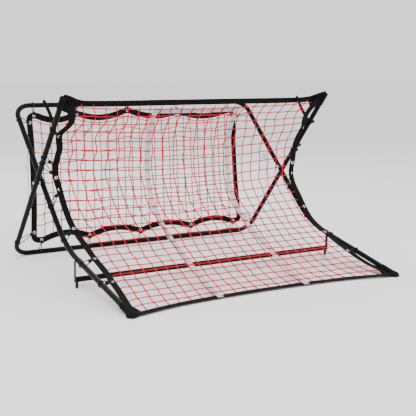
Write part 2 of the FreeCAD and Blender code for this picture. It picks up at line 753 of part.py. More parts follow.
def make_straps():
    """A loop of webbing round each base leg and its free tail, standing up and back."""
    place = across(BASE_END - UP_LEG * STRAP_BELOW_END, BASE_X)
    start = place - UP_LEG * (STRAP_W / 2)
    loop = ring(start, UP_LEG, TUBE_R + SOFT_GAP + STRAP_T, TUBE_R + SOFT_GAP, STRAP_W)
    way = side_dir(STRAP_SLOPE)
    up = way.cross(OUT)
    root = across(place, BASE_X - STRAP_TAIL_IN) + way * (TUBE_R + SOFT_GAP)
    half = STRAP_W / 2
    outline = ((0.0, -half), (STRAP_TAIL - half, -half), (STRAP_TAIL, 0.0),
               (STRAP_TAIL - half, half), (0.0, half))
    tail = prism(outline, root, way, up, STRAP_T)
    save(both_sides(loop.fuse(tail)), "storage_straps")


os.makedirs("parts", exist_ok=True)
make_buttons()
make_tubes()
make_pivot()
make_stand()
make_braces()
make_front_net()
make_rear_net()
make_straps()
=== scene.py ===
import math

import bpy
import numpy as np
from mathutils import Matrix, Vector


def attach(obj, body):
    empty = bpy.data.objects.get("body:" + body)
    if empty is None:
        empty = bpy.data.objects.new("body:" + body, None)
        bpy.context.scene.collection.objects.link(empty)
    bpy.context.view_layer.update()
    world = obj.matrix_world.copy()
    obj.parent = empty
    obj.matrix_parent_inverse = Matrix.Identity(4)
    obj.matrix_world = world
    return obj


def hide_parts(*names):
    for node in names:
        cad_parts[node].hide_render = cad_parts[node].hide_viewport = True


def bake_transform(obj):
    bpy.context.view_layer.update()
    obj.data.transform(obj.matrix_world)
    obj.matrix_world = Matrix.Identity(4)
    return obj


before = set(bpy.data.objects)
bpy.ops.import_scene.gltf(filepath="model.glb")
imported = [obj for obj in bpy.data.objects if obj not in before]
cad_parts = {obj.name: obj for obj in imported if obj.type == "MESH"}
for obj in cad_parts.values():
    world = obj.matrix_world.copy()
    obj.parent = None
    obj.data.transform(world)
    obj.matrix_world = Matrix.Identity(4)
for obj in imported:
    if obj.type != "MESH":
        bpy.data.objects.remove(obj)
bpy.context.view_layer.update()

# ---- studio ----
# A flat pale floor under an open white sky, with three large soft boxes for shape. The camera
# stands low in front of the left corner.


def linear(code):
    """sRGB hex code to linear red, green, blue and alpha: the sRGB curve taken off each channel."""
    channels = [int(code[i:i + 2], 16) / 255 for i in (1, 3, 5)]
    return [c / 12.92 if c <= 0.04045 else ((c + 0.055) / 1.055) ** 2.4 for c in channels] + [1.0]


def add_node(material, kind, inputs=None, **settings):
    """One shader node with its settings; an input is a value or another node's output socket."""
    made = material.node_tree.nodes.new("ShaderNode" + kind)
    for key, value in settings.items():
        setattr(made, key, value)
    for key, value in (inputs or {}).items():
        if isinstance(value, bpy.types.NodeSocket):
            material.node_tree.links.new(value, made.inputs[key])
        else:
            made.inputs[key].default_value = value
    return made


def new_surface(name, **values):
    """An empty material with its Principled shader, whose plain sockets are set directly."""
    material = bpy.data.materials.new(name)
    material.use_nodes = True
    shader = material.node_tree.nodes["Principled BSDF"]
    for key, value in values.items():
        shader.inputs[key.replace("_", " ")].default_value = value
    return material, shader


def feed(material, socket, source):
    material.node_tree.links.new(source, socket)


def unit(vector):
    return np.asarray(vector, float) / np.linalg.norm(vector)


def ring_turns(count):
    """Angles of a ring's points: even steps that begin half a step past the back."""
    return -math.pi + (np.arange(count) + 0.5) * 2 * math.pi / count


def ring_grid(radii, heights, count, axis_point, axis, start):
    """Rings round an axis: each ring i has radius radii[i] at height heights[i] along the axis."""
    axis = unit(axis)
    side = unit(np.cross(axis, start))
    front = np.cross(side, axis)
    turn = ring_turns(count)
    spoke = np.cos(turn)[:, None] * front + np.sin(turn)[:, None] * side
    grid = np.asarray(radii)[:, None, None] * spoke
    return np.asarray(axis_point) + grid + np.asarray(heights)[:, None, None] * axis


def make_piece(name, grids, material, closed=False, across=None, sharp=40):
    """One mesh from grids of rings, each grid [strand, ring, point on the ring].

    Neighbouring rings are joined by quads; an open strand's two ends are closed by quads between
    the two halves of the end ring, and a closed strand's last ring joins its first. The UV map is
    metres along the strand and metres across it.
    """
    points, loops, sizes, uvs = [], [], [], []
    base = 0
    for grid in grids:
        grid = np.asarray(grid, float)
        if grid.ndim == 3:
            grid = grid[None]
        strands, rings, count, _ = grid.shape
        index = base + np.arange(strands * rings * count).reshape(strands, rings, count)
        right = np.roll(index, -1, axis=2)
        ahead = np.roll(index, -1, axis=1)
        both = np.roll(right, -1, axis=1)
        last = rings if closed else rings - 1
        quads = np.stack([index, right, both, ahead], axis=-1)[:, :last].reshape(-1, 4)
        middle = grid.mean(axis=2)
        step = np.linalg.norm(np.diff(middle, axis=1, append=middle[:, :1]), axis=2)
        along = np.concatenate([np.zeros((strands, 1)), np.cumsum(step, axis=1)], axis=1)
        if across is None:
            edge = np.linalg.norm(np.roll(grid, -1, axis=2) - grid, axis=3).mean(axis=(0, 1))
            wide = np.concatenate([[0.0], np.cumsum(edge)])
        else:
            wide = np.append(across, across[0])
        u = np.broadcast_to(along[:, :last, None], (strands, last, count))
        u2 = np.broadcast_to(along[:, 1:last + 1, None], (strands, last, count))
        v = np.broadcast_to(wide[None, None, :-1], (strands, last, count))
        v2 = np.broadcast_to(wide[None, None, 1:], (strands, last, count))
        corner = np.stack([np.stack([u, v], -1), np.stack([u, v2], -1),
                           np.stack([u2, v2], -1), np.stack([u2, v], -1)], axis=3)
        points.append(grid.reshape(-1, 3))
        loops.append(quads.ravel())
        sizes.append(len(quads))
        uvs.append(corner.reshape(-1, 2))
        if not closed:
            j = np.arange(count // 2 - 1)
            for ring, order in ((-1, (j, j + 1, count - 2 - j, count - 1 - j)),
                                (0, (j, count - 1 - j, count - 2 - j, j + 1))):
                cap = np.stack([index[:, ring][:, o] for o in order], axis=-1).reshape(-1, 4)
                place = along[:, last if ring else 0]
                spots = np.stack([np.stack([np.broadcast_to(place[:, None], (strands, len(j))),
                                            np.broadcast_to(wide[o], (strands, len(j)))], -1)
                                  for o in order], axis=2)
                loops.append(cap.ravel())
                sizes.append(len(cap))
                uvs.append(spots.reshape(-1, 2))
        base += strands * rings * count
    points = np.concatenate(points)
    loops = np.concatenate(loops)
    faces = sum(sizes)
    mesh = bpy.data.meshes.new(name)
    mesh.vertices.add(len(points))
    mesh.vertices.foreach_set("co", points.astype(np.float32).ravel())
    mesh.loops.add(len(loops))
    mesh.loops.foreach_set("vertex_index", loops.astype(np.int32))
    mesh.polygons.add(faces)
    mesh.polygons.foreach_set("loop_start", np.arange(faces, dtype=np.int32) * 4)
    mesh.update(calc_edges=True)
    layer = mesh.uv_layers.new(name="run")
    layer.data.foreach_set("uv", np.concatenate(uvs).astype(np.float32).ravel())
    mesh.validate()
    mesh.shade_smooth()
    mesh.set_sharp_from_angle(angle=math.radians(sharp))
    mesh.materials.append(material)
    piece = bpy.data.objects.new(name, mesh)
    bpy.context.scene.collection.objects.link(piece)
    return piece


paper, _ = new_surface("white_paper", Base_Color=linear("#F7F7F7"), Roughness=0.9)
FLOOR_HALF = 40.0
floor_mesh = bpy.data.meshes.new("paper_floor")
floor_mesh.from_pydata([(-FLOOR_HALF, -FLOOR_HALF, 0), (FLOOR_HALF, -FLOOR_HALF, 0),
                        (FLOOR_HALF, FLOOR_HALF, 0), (-FLOOR_HALF, FLOOR_HALF, 0)], [],
                       [(0, 1, 2, 3)])
floor_mesh.materials.append(paper)
floor = bpy.data.objects.new("paper_floor", floor_mesh)
bpy.context.scene.collection.objects.link(floor)


def soft_box(name, place, aim, size, power):
    light = bpy.data.lights.new(name, "AREA")
    light.shape = "RECTANGLE"
    light.size, light.size_y = size
    light.energy = power
    lamp = bpy.data.objects.new(name, light)
    bpy.context.scene.collection.objects.link(lamp)
    lamp.location = place
    lamp.rotation_mode = "QUATERNION"
    lamp.rotation_quaternion = (Vector(aim) - Vector(place)).to_track_quat("-Z", "Y")


soft_box("key_light", (-2.6, -3.4, 4.6), (0.0, 0.0, 0.4), (3.4, 2.4), 200)
soft_box("fill_light", (4.2, -2.2, 3.4), (0.0, 0.0, 0.5), (3.0, 2.4), 90)
soft_box("back_light", (0.8, 4.6, 4.4), (0.0, 0.2, 0.6), (4.0, 2.0), 120)

SKY_STRENGTH = 1.35
sky = bpy.data.worlds.new("studio_white")
sky.use_nodes = True
sky.node_tree.nodes["Background"].inputs["Color"].default_value = linear("#FFFFFF")
sky.node_tree.nodes["Background"].inputs["Strength"].default_value = SKY_STRENGTH
bpy.context.scene.world = sky

CAMERA_AT = Vector((-2.804, -4.697, 1.268))
CAMERA_YAW = math.radians(31.574)          # turned from +Y towards +X
CAMERA_DOWN = math.radians(9.415)
CAMERA_ROLL = math.radians(0.53)
look = Vector((math.sin(CAMERA_YAW) * math.cos(CAMERA_DOWN),
               math.cos(CAMERA_YAW) * math.cos(CAMERA_DOWN), -math.sin(CAMERA_DOWN)))
level = Vector((math.cos(CAMERA_YAW), -math.sin(CAMERA_YAW), 0))
upright = level.cross(look)
camera_x = level * math.cos(CAMERA_ROLL) + upright * math.sin(CAMERA_ROLL)
camera_y = upright * math.cos(CAMERA_ROLL) - level * math.sin(CAMERA_ROLL)
lens = bpy.data.cameras.new("camera")
lens.sensor_width = 36.0
lens.lens = 77.06
camera = bpy.data.objects.new("camera", lens)
bpy.context.scene.collection.objects.link(camera)
turned = Matrix((camera_x, camera_y, -look)).transposed().to_4x4()
camera.matrix_world = Matrix.Translation(CAMERA_AT) @ turned
bpy.context.scene.camera = camera

# ---- steel tubes ----
# Two bent frames of 31.8 mm steel tube, and a stand with a bar of the same tube between two flat
# steel legs, sprayed with black powder and baked. The coat dries to a fine orange peel.


def finish_cad(material, *nodes):
    for name in nodes:
        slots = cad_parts[name].data.materials
        slots.clear()
        slots.append(material)


def texture(material, shader, tint, tones, relief, strength, depth, span=(0.0, 1.0), gloss=None):
    """Colour between two tones by one pattern and a bump of the given depth by another.

    gloss is a pattern and the least and greatest roughness that it gives.
    """
    tone = add_node(material, "ValToRGB", {"Fac": tint})
    for stop, place, code in zip(tone.color_ramp.elements, span, tones):
        stop.position = place
        stop.color = linear(code)
    bump = add_node(material, "Bump", {"Height": relief, "Strength": strength, "Distance": depth})
    feed(material, shader.inputs["Base Color"], tone.outputs["Color"])
    feed(material, shader.inputs["Normal"], bump.outputs["Normal"])
    if gloss:
        rough = add_node(material, "MapRange", {"Value": gloss[0], "To Min": gloss[1],
                                                "To Max": gloss[2]})
        feed(material, shader.inputs["Roughness"], rough.outputs["Result"])


ORANGE_PEEL = 0.0025        # metres from one dimple of the powder coat to the next
coat, shader = new_surface("black_powder_coat_on_steel", Metallic=0.0, Specular_IOR_Level=0.09)
where = add_node(coat, "TexCoord").outputs["Object"]
peel = add_node(coat, "TexNoise", {"Vector": where, "Scale": 1 / ORANGE_PEEL, "Detail": 2.0})
cloud = add_node(coat, "TexNoise", {"Vector": where, "Scale": 14.0, "Detail": 4.0}).outputs["Fac"]
texture(coat, shader, cloud, ("#050506", "#0C0C0E"), peel.outputs["Fac"], 0.12, 0.0004,
       span=(0.3, 0.72), gloss=(cloud, 0.28, 0.42))
SIDES = ("left", "right")
for side in SIDES:
    finish_cad(coat, *[part + "_" + side for part in (
        "base_corner_tube", "base_leg", "top_corner_tube", "middle_leg", "toe_tube", "stand_leg")])
finish_cad(coat, "stand_bar")

# ---- plugs, bushes and feet ----
# Injection-moulded black polyethylene plugs in the tube ends, natural nylon bushes and washers at
# the pivots, and black rubber feet under the stand. Moulding leaves a fine matt grain.


def moulded(name, tones, grain, rough):
    """Moulded plastic or rubber: fine grain in the bump, a slow change of tone and gloss."""
    material, shader = new_surface(name, Specular_IOR_Level=0.2)
    where = add_node(material, "TexCoord").outputs["Object"]
    fine = add_node(material, "TexNoise", {"Vector": where, "Scale": 1 / grain, "Detail": 3.0})
    slow = add_node(material, "TexNoise", {"Vector": where, "Scale": 45.0, "Detail": 2.0})
    texture(material, shader, slow.outputs["Fac"], tones, fine.outputs["Fac"], 0.25, 0.0002,
           gloss=(fine.outputs["Fac"], rough - 0.08, rough + 0.08))
    return material


finish_cad(moulded("black_polyethylene_plug", ("#121214", "#232326"), 0.0009, 0.5),
           "base_end_plugs", "toe_end_plugs")
finish_cad(moulded("natural_nylon", ("#CFCBBE", "#E6E2D6"), 0.0009, 0.42),
           "pivot_bushes", "pivot_washers")
finish_cad(moulded("black_rubber", ("#19191A", "#2A2A2B"), 0.0012, 0.78), "stand_feet")

# ---- bolts, snap buttons and braces ----
# Zinc-plated steel: hex bolts and nuts, the spring buttons that lock the tube joints, and the two
# thin brace rods between the frames. The plating is bluish, bright and a little cloudy.


def plated(name, tones, rough, streak):
    """Plated steel: cloudy tone from noise, with fine marks 1 / streak times as long along Z."""
    material, shader = new_surface(name, Metallic=1.0)
    where = add_node(material, "TexCoord").outputs["Object"]
    drawn = add_node(material, "Mapping", {"Vector": where, "Scale": (1.0, 1.0, streak)})
    marks = add_node(material, "TexNoise", {"Vector": drawn.outputs["Vector"], "Scale": 900.0,
                                            "Detail": 3.0})
    cloud = add_node(material, "TexNoise", {"Vector": where, "Scale": 60.0, "Detail": 4.0})
    texture(material, shader, cloud.outputs["Fac"], tones, marks.outputs["Fac"], 0.1, 0.0001,
           gloss=(marks.outputs["Fac"], rough - 0.1, rough + 0.1))
    return material


zinc = plated("zinc_plated_steel", ("#B4BCC2", "#DDE2E6"), 0.34, 1.0)
finish_cad(zinc, "pivot_bolts", "pivot_nuts", "stand_bolts", "stand_nuts", "brace_rivets",
           "brace_studs")
rod_zinc = plated("drawn_zinc_rod", ("#8C9AA2", "#C4D0D8"), 0.38, 0.1)
spring = plated("spring_steel", ("#7E8286", "#A9ADB0"), 0.3, 0.3)
for side in SIDES:
    finish_cad(rod_zinc, "brace_rod_" + side)
    for joint in ("base", "top", "toe"):
        finish_cad(zinc, joint + "_snap_button_" + side)
        finish_cad(spring, joint + "_snap_spring_" + side)

# ---- brace tags ----
# A blank flag of grey-white vinyl film folded round each brace rod and pressed together. The film
# is smooth with faint ripples.

vinyl, shader = new_surface("grey_white_vinyl_film", Roughness=0.35, Coat_Weight=0.2)
where = add_node(vinyl, "TexCoord").outputs["Object"]
ripple = add_node(vinyl, "TexNoise", {"Vector": where, "Scale": 70.0, "Detail": 2.0})
texture(vinyl, shader, ripple.outputs["Fac"], ("#C4C4CC", "#DCDCE2"), ripple.outputs["Fac"], 0.3,
       0.001)
for side in SIDES:
    finish_cad(vinyl, "brace_tag_" + side)

# ---- front net ----
# Netting of 6 mm red braided polyester twine in cells 73 mm wide and 60 mm high, hung from the base
# legs' tops, drawn back to the pivots by its ties and spread forward to the toes.


def through(points, count):
    """Even points on the natural cubic spline through the given points.

    The spline's second slopes m solve h0 m0 + 2 (h0 + h1) m1 + h1 m2 = 6 (change of slope), and
    the curve is then stepped at equal arc lengths.
    """
    p = np.asarray(points, float)
    t = np.concatenate([[0.0], np.cumsum(np.linalg.norm(np.diff(p, axis=0), axis=1))])
    h = np.diff(t)
    size = len(t)
    table = np.eye(size)
    inner = np.arange(1, size - 1)
    table[inner, inner - 1] = h[:-1]
    table[inner, inner] = 2 * (h[:-1] + h[1:])
    table[inner, inner + 1] = h[1:]
    slope = np.diff(p, axis=0) / h[:, None]
    right = np.zeros_like(p)
    right[1:-1] = 6 * np.diff(slope, axis=0)
    second = np.linalg.solve(table, right)
    at = np.linspace(0, t[-1], 900)
    k = np.clip(np.searchsorted(t, at, side="right") - 1, 0, size - 2)
    a, b, step = (t[k + 1] - at)[:, None], (at - t[k])[:, None], h[k][:, None]
    dense = (second[k] * a ** 3 + second[k + 1] * b ** 3) / (6 * step)
    dense += (p[k] / step - second[k] * step / 6) * a
    dense += (p[k + 1] / step - second[k + 1] * step / 6) * b
    run = np.concatenate([[0.0], np.cumsum(np.linalg.norm(np.diff(dense, axis=0), axis=1))])
    even = np.linspace(0, run[-1], count)
    return np.stack([np.interp(even, run, dense[:, i]) for i in range(3)], axis=1)


def arc_length(line):
    return float(np.linalg.norm(np.diff(line, axis=0), axis=1).sum())


def carry(profile, centre, wide, closed=False):
    """Rings of a flat profile carried along lines.

    Each ring is centre + a W + b N, for the profile's (a, b), with N = way x wide made unit and
    W = N x way, where way is the line's direction. profile is [point, 2] or [ring, point, 2].
    """
    centre = np.asarray(centre, float)
    if closed:
        way = np.roll(centre, -1, axis=-2) - np.roll(centre, 1, axis=-2)
    else:
        way = np.gradient(centre, axis=-2)
    way = way / np.linalg.norm(way, axis=-1, keepdims=True)
    normal = np.cross(way, np.broadcast_to(np.asarray(wide, float), way.shape))
    normal /= np.linalg.norm(normal, axis=-1, keepdims=True)
    wide = np.cross(normal, way)
    profile = np.asarray(profile)
    a, b = profile[..., 0, None], profile[..., 1, None]
    return centre[..., None, :] + a * wide[..., None, :] + b * normal[..., None, :]


def round_profile(radius, count):
    turn = ring_turns(count)
    return radius * np.stack([np.cos(turn), np.sin(turn)], axis=1)


TWINE_R = 0.0032
BAND_W = 0.040
# half width, y and z down the middle of the right side band, from the top pocket to the toe pocket
SIDE_LINE = ((0.880, -0.080, 1.028), (0.850, -0.050, 0.980), (0.828, -0.012, 0.922),
             (0.873, 0.077, 0.832), (0.853, 0.118, 0.750), (0.866, 0.163, 0.653),
             (0.858, 0.166, 0.583), (0.843, 0.158, 0.513), (0.838, 0.078, 0.398),
             (0.830, -0.013, 0.308), (0.814, -0.134, 0.231), (0.814, -0.264, 0.179),
             (0.810, -0.380, 0.136), (0.816, -0.492, 0.098), (0.824, -0.610, 0.060),
             (0.838, -0.700, 0.036), (0.862, -0.796, 0.020))
MIDDLE_LINE = ((0, -0.036, 0.998), (0, 0.000, 0.962), (0, 0.040, 0.915), (0, 0.077, 0.840),
               (0, 0.094, 0.760), (0, 0.097, 0.660), (0, 0.090, 0.575), (0, 0.067, 0.500),
               (0, 0.040, 0.437), (0, -0.023, 0.355), (0, -0.123, 0.280), (0, -0.233, 0.214),
               (0, -0.323, 0.170), (0, -0.438, 0.120), (0, -0.538, 0.078), (0, -0.640, 0.040),
               (0, -0.753, 0.014))
side_line = through(SIDE_LINE, 241)
middle_line = through(MIDDLE_LINE, 241)
RUN_OUT = 0.055             # how far the net's corners run out to the bottom band


def front_surface(u, v, lift=0.0):
    """Front net at u across (-1 to 1) and v down (0 to 1).

    The edge line and the middle line are read at the same share of their lengths; the place is
    edge + (middle - edge)(1 - u^2), with x = u times the half width inside the bands; lift is forward.
    Over the last 7% the net runs out to the bottom band, by up to RUN_OUT times u^4.
    """
    share = np.linspace(0, 1, len(side_line))
    edge = np.stack([np.interp(v, share, side_line[:, i]) for i in range(3)], axis=-1)
    middle = np.stack([np.interp(v, share, middle_line[:, i]) for i in range(3)], axis=-1)
    bulge = 1 - u ** 2
    x = u * (edge[..., 0] - BAND_W / 2)
    y = edge[..., 1] + (middle[..., 1] - edge[..., 1]) * bulge
    z = edge[..., 2] + (middle[..., 2] - edge[..., 2]) * bulge
    y = y - RUN_OUT * u ** 4 * np.clip((v - 0.93) / 0.07, 0, 1) ** 2
    slope = np.gradient(side_line, axis=0)
    ny = np.interp(v, share, slope[:, 2])
    nz = np.interp(v, share, -slope[:, 1])
    size = np.hypot(ny, nz)
    return np.stack([x, y + lift * ny / size, z + lift * nz / size], axis=-1)


def unrest(a, b, seed):
    """Slow unevenness of hand-hung netting: three crossed sine waves of seeded phase, within 1."""
    draw = np.random.default_rng(seed)
    total = 0.0
    for wave in (3.1, 5.3, 8.7):
        phase = draw.uniform(0, 2 * math.pi, 2)
        total = total + np.sin(wave * a + phase[0]) * np.sin(wave * b * 1.3 + phase[1]) / 3
    return total


def woven_line(centre, radius, wide):
    return carry(round_profile(radius, 6), centre, wide)


def lean(u, v):
    """Sideways drift of the columns: they hang to the right in the middle and wander a little."""
    return 0.022 * np.exp(-((v - 0.56) / 0.12) ** 2) + 0.007 * unrest(u * 5, v * 9, 5)


def hung_front(u, v, wander):
    """The front surface as it hangs: 4 mm in and out, rows wandering along it by wander times
    0.18% of its length, and the rows' ends tucked 6 mm behind the side bands."""
    tuck = 0.006 * np.clip((np.abs(u) - 0.97) / 0.03, 0, 1)
    return front_surface(u, v + wander * 0.0018 * unrest(u * 6, v * 9, 8),
                         0.004 * unrest(u * 3, v * 4, 3) - tuck)


def knots(places, radius):
    """Small rounded knots: three rings each, at radii r (0.55, 1, 0.55) along Z."""
    rise = np.array([-0.8, 0.0, 0.8]) * radius
    rings = ring_grid(np.array([0.55, 1.0, 0.55]) * radius, rise, 6, (0, 0, 0), (0, 0, 1),
                      (1, 0, 0))
    return places[:, None, None, :] + rings[None]


def wear_and_relief_shade(material, shader, pattern, share, scale, detail, tones, strength, depth, span):
    """A pattern's bump; the colour is patches of wear plus a share of the pattern, which is painted
    shade: lighter on the relief's crowns and darker in its hollows.
    """
    where = add_node(material, "TexCoord").outputs["Object"]
    wear = add_node(material, "TexNoise", {"Vector": where, "Scale": scale, "Detail": detail})
    mix = add_node(material, "Math", {0: pattern, 1: share, 2: wear.outputs["Fac"]},
                   operation="MULTIPLY_ADD")
    texture(material, shader, mix.outputs[0], tones, pattern, strength, depth, span)


def braided_twine(name, tones):
    """Braided cord: two families of ridges wound opposite ways, one bump where both are high.

    Height is sin(a + b) sin(a - b), with a along the cord and b round it. The real braid's pitch
    is 4 mm; it is drawn at 6 mm so that it shows.
    """
    material, shader = new_surface(name, Roughness=0.7, Specular_IOR_Level=0.12)
    place = add_node(material, "UVMap").outputs["UV"]
    split = add_node(material, "SeparateXYZ", {"Vector": place})
    along = add_node(material, "Math", {0: split.outputs["X"], 1: 2 * math.pi / 0.006},
                     operation="MULTIPLY")
    round_it = add_node(material, "Math", {0: split.outputs["Y"], 1: 2 * math.pi / 0.0053},
                        operation="MULTIPLY")
    plus = add_node(material, "Math", {0: along.outputs[0], 1: round_it.outputs[0]})
    minus = add_node(material, "Math", {0: along.outputs[0], 1: round_it.outputs[0]},
                     operation="SUBTRACT")
    high = add_node(material, "Math", {0: plus.outputs[0]}, operation="SINE")
    low = add_node(material, "Math", {0: minus.outputs[0]}, operation="SINE")
    braid = add_node(material, "Math", {0: high.outputs[0], 1: low.outputs[0]},
                     operation="MULTIPLY")
    # the braid's ridges are painted lighter and its hollows darker, as painted shade, on top of
    # patches of wear
    wear_and_relief_shade(material, shader, braid.outputs[0], 0.25, 9.0, 4.0, tones, 0.5, 0.0004, (0.25, 0.8))
    return material


def netting(name, hung, lean, u_columns, v_rows, u_fine, v_fine, row_side):
    """Netting over a surface: columns at fixed u, rows at fixed v and a knot at each crossing.

    hung(u, v, wander) is the surface, lean(u, v) moves the columns and the knots sideways, and
    u_fine and v_fine are the places along a row and along a column.
    """
    u, v = np.meshgrid(u_columns, v_fine, indexing="ij")
    columns = hung(u, v, 0)
    columns[..., 0] += lean(u, v)
    v, u = np.meshgrid(v_rows, u_fine, indexing="ij")
    rows = hung(u, v, 1)
    v, u = np.meshgrid(v_rows, u_columns, indexing="ij")
    crossings = hung(u, v, 1)
    crossings[..., 0] += lean(u, v)
    return make_piece(name, [
        woven_line(columns, TWINE_R, (1, 0, 0)), woven_line(rows, TWINE_R, row_side),
        knots(crossings.reshape(-1, 3), TWINE_R * 1.7)], red_twine, sharp=80)


red_twine = braided_twine("red_braided_polyester", ("#A80014", "#D80026"))
NET_COLUMNS, NET_ROWS = 22, 26
TOP_ROW, BOTTOM_ROW = 0.021, 0.969      # shares of the net's length
front_net = netting("front_net_twine", hung_front, lean, np.linspace(-0.929, 0.923, NET_COLUMNS),
                    np.linspace(TOP_ROW, BOTTOM_ROW, NET_ROWS), np.linspace(-1, 1, 97),
                    np.linspace(0.004, 0.996, NET_ROWS * 4 + 1), (0, 0.5, 1))
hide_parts("front_net")
# between the third and the fifth tie the net passes from the base frame to the swing frame
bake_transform(front_net)

# ---- front bands ----
# Polyester webbing 32 to 40 mm wide: black round the edge of the net, sewn on double with a row
# of stitching near each edge, and two white bands with a cross band that mark out the target.


def tape_profile(width, thick):
    """Flat tape with soft edges, as (a, b) round it: along the back, then along the face."""
    a = np.array([-0.5, -0.485, -0.3, -0.1, 0.1, 0.3, 0.485, 0.5])
    b = np.array([-0.35, -0.9, -1.0, -1.0, -1.0, -1.0, -0.9, -0.35]) / 2
    return np.concatenate([np.stack([a * width, b * thick], axis=1),
                           np.stack([a[::-1] * width, -b * thick], axis=1)])


def tape(centre, wide, width, thick, closed=False):
    """A band along a line, whose width may change; its face ripples by a fifth of its thickness."""
    centre = np.asarray(centre, float)
    count = centre.shape[-2]
    width = np.broadcast_to(np.asarray(width, float), (count,))
    flat = tape_profile(1.0, thick)
    profile = np.repeat(flat[None], count, axis=0)
    profile[:, :, 0] *= width[:, None]
    turn = np.linspace(0, 2 * math.pi * 5, count)
    profile[:, :, 1] += 0.2 * thick * np.sin(turn)[:, None] * np.sin(flat[:, 0] * 5)[None]
    return carry(profile, centre, wide, closed)


TAPE_ACROSS = tape_profile(BAND_W, 1.0)[:, 0]


def wave(material, along, pitch):
    """Sine wave of the given pitch in metres along a coordinate."""
    turns = add_node(material, "Math", {0: along, 1: 2 * math.pi / pitch}, operation="MULTIPLY")
    return add_node(material, "Math", {0: turns.outputs[0]}, operation="SINE").outputs[0]


def webbing(name, tones, width):
    """Woven tape: ribs across it and warp threads along it, with a stitch row near each edge.

    Height is 0.35 times a rib wave along u times a thread wave across v, plus a dashed ridge
    4 mm from each edge. Real threads are 0.8 mm; they are drawn 2.5 mm wide so that they show.
    """
    thread = 0.0025
    material, shader = new_surface(name, Roughness=0.75, Specular_IOR_Level=0.08)
    place = add_node(material, "UVMap").outputs["UV"]
    split = add_node(material, "SeparateXYZ", {"Vector": place})
    weave = add_node(material, "Math", {0: wave(material, split.outputs["X"], thread),
                                        1: wave(material, split.outputs["Y"], thread)},
                     operation="MULTIPLY")
    out = add_node(material, "Math", {0: split.outputs["Y"]}, operation="ABSOLUTE")
    row = add_node(material, "Math", {0: out.outputs[0], 1: width / 2 - 0.004, 2: 0.0009},
                   operation="COMPARE")
    dash = add_node(material, "Math", {0: wave(material, split.outputs["X"], 0.004), 1: -0.4},
                    operation="GREATER_THAN")
    stitch = add_node(material, "Math", {0: row.outputs[0], 1: dash.outputs[0]},
                      operation="MULTIPLY")
    height = add_node(material, "Math", {0: weave.outputs[0], 1: 0.35, 2: stitch.outputs[0]},
                      operation="MULTIPLY_ADD")
    # the threads and the stitch rows are painted lighter and the hollows between them darker, as
    # painted shade, on top of patches of wear
    wear_and_relief_shade(material, shader, height.outputs[0], 0.22, 22.0, 5.0, tones, 0.6, 0.0005,
                (0.3, 0.85))
    return material


WEBBING_BLACKS = ("#060607", "#141416")
black_webbing = webbing("black_polyester_webbing", WEBBING_BLACKS, BAND_W)
white_webbing = webbing("white_polyester_webbing", ("#B2B2B8", "#C9C9CE"), BAND_W)
BAND_T = 0.0028


def mirrored(grid):
    """The same rings on the other side of the middle, with each ring's order turned round."""
    return (np.asarray(grid) * (-1, 1, 1))[..., ::-1, :]


TOP_SPREAD, TOE_SPREAD = 0.026, 0.020   # how much wider a side band is sewn at each pocket
edge_line = through(side_line[::12], 181)
near_top = np.clip(1 - np.linspace(0, arc_length(edge_line), len(edge_line)) / 0.16, 0, 1)
near_toe = np.clip(1 - np.linspace(arc_length(edge_line), 0, len(edge_line)) / 0.14, 0, 1)
edge_width = BAND_W + TOP_SPREAD * near_top ** 2 + TOE_SPREAD * near_toe ** 2
edge_band = tape(edge_line, (1, 0, 0), edge_width, BAND_T)


def band_piece(name, grid, material, node, flat, closed=False):
    """One length of webbing that stands for a CAD node; of the size it was cut to, flat, the width
    scales the UV map across it.
    """
    piece = make_piece(name, [grid], material, closed=closed, across=TAPE_ACROSS * flat[0] / BAND_W)
    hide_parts(node)
    return piece


for side, grid in zip(SIDES, (mirrored(edge_band), edge_band)):
    side_band = band_piece("front_side_band_" + side, grid, black_webbing, "front_side_bands",
                           (BAND_W, arc_length(edge_line)))
    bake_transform(side_band)

TOP_LINE = ((-0.918, -0.092, 1.050), (-0.880, -0.084, 1.044), (-0.830, -0.068, 1.030),
            (-0.780, -0.058, 1.023), (-0.700, -0.052, 1.020), (-0.350, -0.046, 1.019),
            (0.0, -0.044, 1.019))


def both_halves(points, count):
    """A line from the left end to the middle, and its mirror on to the right end."""
    half = through(points, count)
    return np.concatenate([half, (half * (-1, 1, 1))[-2::-1]])


HALF_COUNT = 90
top_line = both_halves(TOP_LINE, HALF_COUNT)
steps = np.arange(len(top_line))
from_end = np.minimum(steps, steps[::-1]) / (HALF_COUNT - 1) * 0.9
top_width = BAND_W + TOP_SPREAD * np.clip(1 - from_end / 0.15, 0, 1) ** 1.5
top_band = band_piece("front_top_band_sewn", tape(top_line, (0, 0.5, -0.86), top_width, BAND_T),
                      black_webbing, "front_top_band", (BAND_W, arc_length(top_line)))
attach(top_band, "base_frame")

BOTTOM_LINE = ((-0.872, -0.852, 0.014), (-0.820, -0.842, 0.013), (-0.760, -0.828, 0.013),
               (-0.570, -0.787, 0.012), (-0.380, -0.768, 0.012), (-0.190, -0.758, 0.012),
               (0.0, -0.755, 0.012))
BOTTOM_W = 0.036
bottom_line = both_halves(BOTTOM_LINE, HALF_COUNT)
bottom_band = band_piece("front_bottom_band_sewn",
                         tape(bottom_line, (0, 0.98, 0.18), BOTTOM_W, BAND_T), black_webbing,
                         "front_bottom_band", (BOTTOM_W, arc_length(bottom_line)))
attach(bottom_band, "swing_frame")

